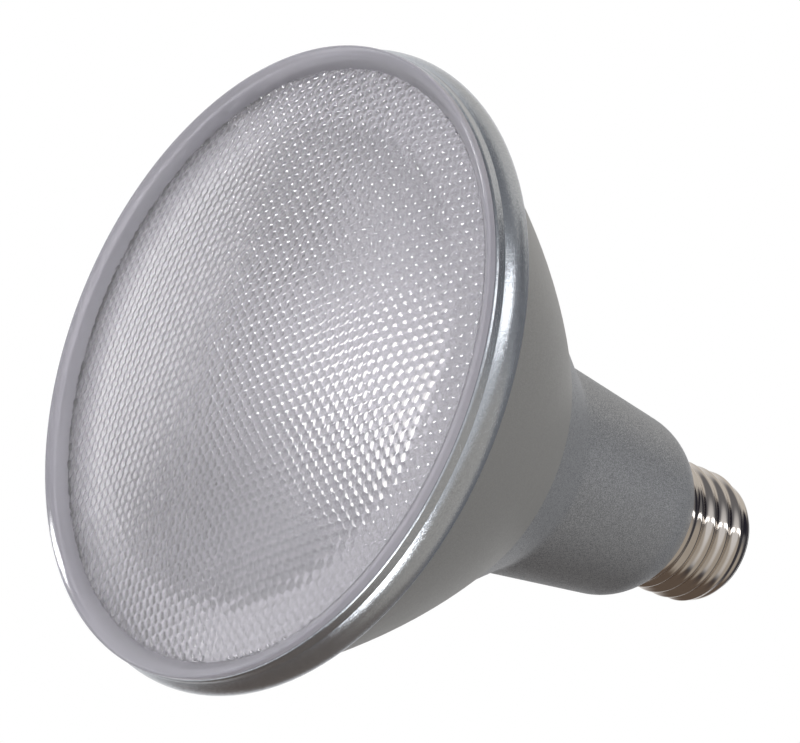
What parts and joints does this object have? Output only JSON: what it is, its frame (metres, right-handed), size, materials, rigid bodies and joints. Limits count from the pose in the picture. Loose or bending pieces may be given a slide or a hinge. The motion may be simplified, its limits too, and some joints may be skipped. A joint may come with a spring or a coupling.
{
  "type": "par spotlight bulb",
  "caption": "Reflector spotlight bulb with a bumpy clear lens, silver cone housing, tapered neck and a medium screw base, with its light board and driver inside.",
  "frame": {"origin": "on the surface it stands on, under the middle bump of the lens, on the lamp's axis", "axes": "+Z along the lamp's axis, from the lens to the screw base; +Y along a row of the lens's bumps"},
  "size_m": [0.1206, 0.1206, 0.1283],
  "materials": {
    "clear_lens": "clear moulded plastic with a faint violet tint",
    "silver_ring_paint": "silver metallic paint with fine flakes, semi-gloss",
    "satin_cone_paint": "satin warm grey paint",
    "grey_neck_paint": "fine metallic grey paint, satin",
    "bright_reflector": "bright metallised plastic",
    "drawn_aluminium": "drawn, dull",
    "thermal_pad_silicone": "soft, matte",
    "white_board": "white solder mask on aluminium",
    "phosphor": "yellow phosphor in white packages",
    "connector_plastic": "moulded, matte",
    "zinc_screw": "zinc plated",
    "green_board": "green solder mask on glass laminate",
    "ferrite": "fired ferrite, matte",
    "winding_tape": "polyester tape over copper",
    "capacitor_sleeve": "shrunk sleeve on an aluminium can",
    "capacitor_box": "moulded box",
    "chip_plastic": "moulded, matte",
    "resistor_coat": "flameproof coat",
    "red_insulation": "extruded",
    "black_insulation": "extruded",
    "white_insulation": "extruded",
    "nickel": "polished nickel plate",
    "black_insulator": "glossy moulding",
    "tinned_brass": "tinned, slightly dull"
  },
  "bodies": {
    "root": {"lens": "clear_lens", "front_ring": "silver_ring_paint", "cone_housing": "satin_cone_paint", "neck_housing": "grey_neck_paint", "reflector": "bright_reflector", "heat_spreader": "drawn_aluminium", "thermal_pad": "thermal_pad_silicone", "light_board": "white_board", "light_packages": "phosphor", "board_connector": "connector_plastic", "board_screws": "zinc_screw", "neck_screws": "zinc_screw", "driver_board": "green_board", "transformer_core": "ferrite", "transformer_winding": "winding_tape", "input_capacitor": "capacitor_sleeve", "output_capacitor": "capacitor_sleeve", "film_capacitor": "capacitor_box", "filter_choke": "ferrite", "rectifier": "chip_plastic", "driver_chip": "chip_plastic", "fuse_resistor": "resistor_coat", "positive_wire": "red_insulation", "negative_wire": "black_insulation", "live_wire": "black_insulation", "neutral_wire": "white_insulation", "screw_shell": "nickel", "base_insulator": "black_insulator", "centre_contact": "tinned_brass"}
  },
  "joints": []
}
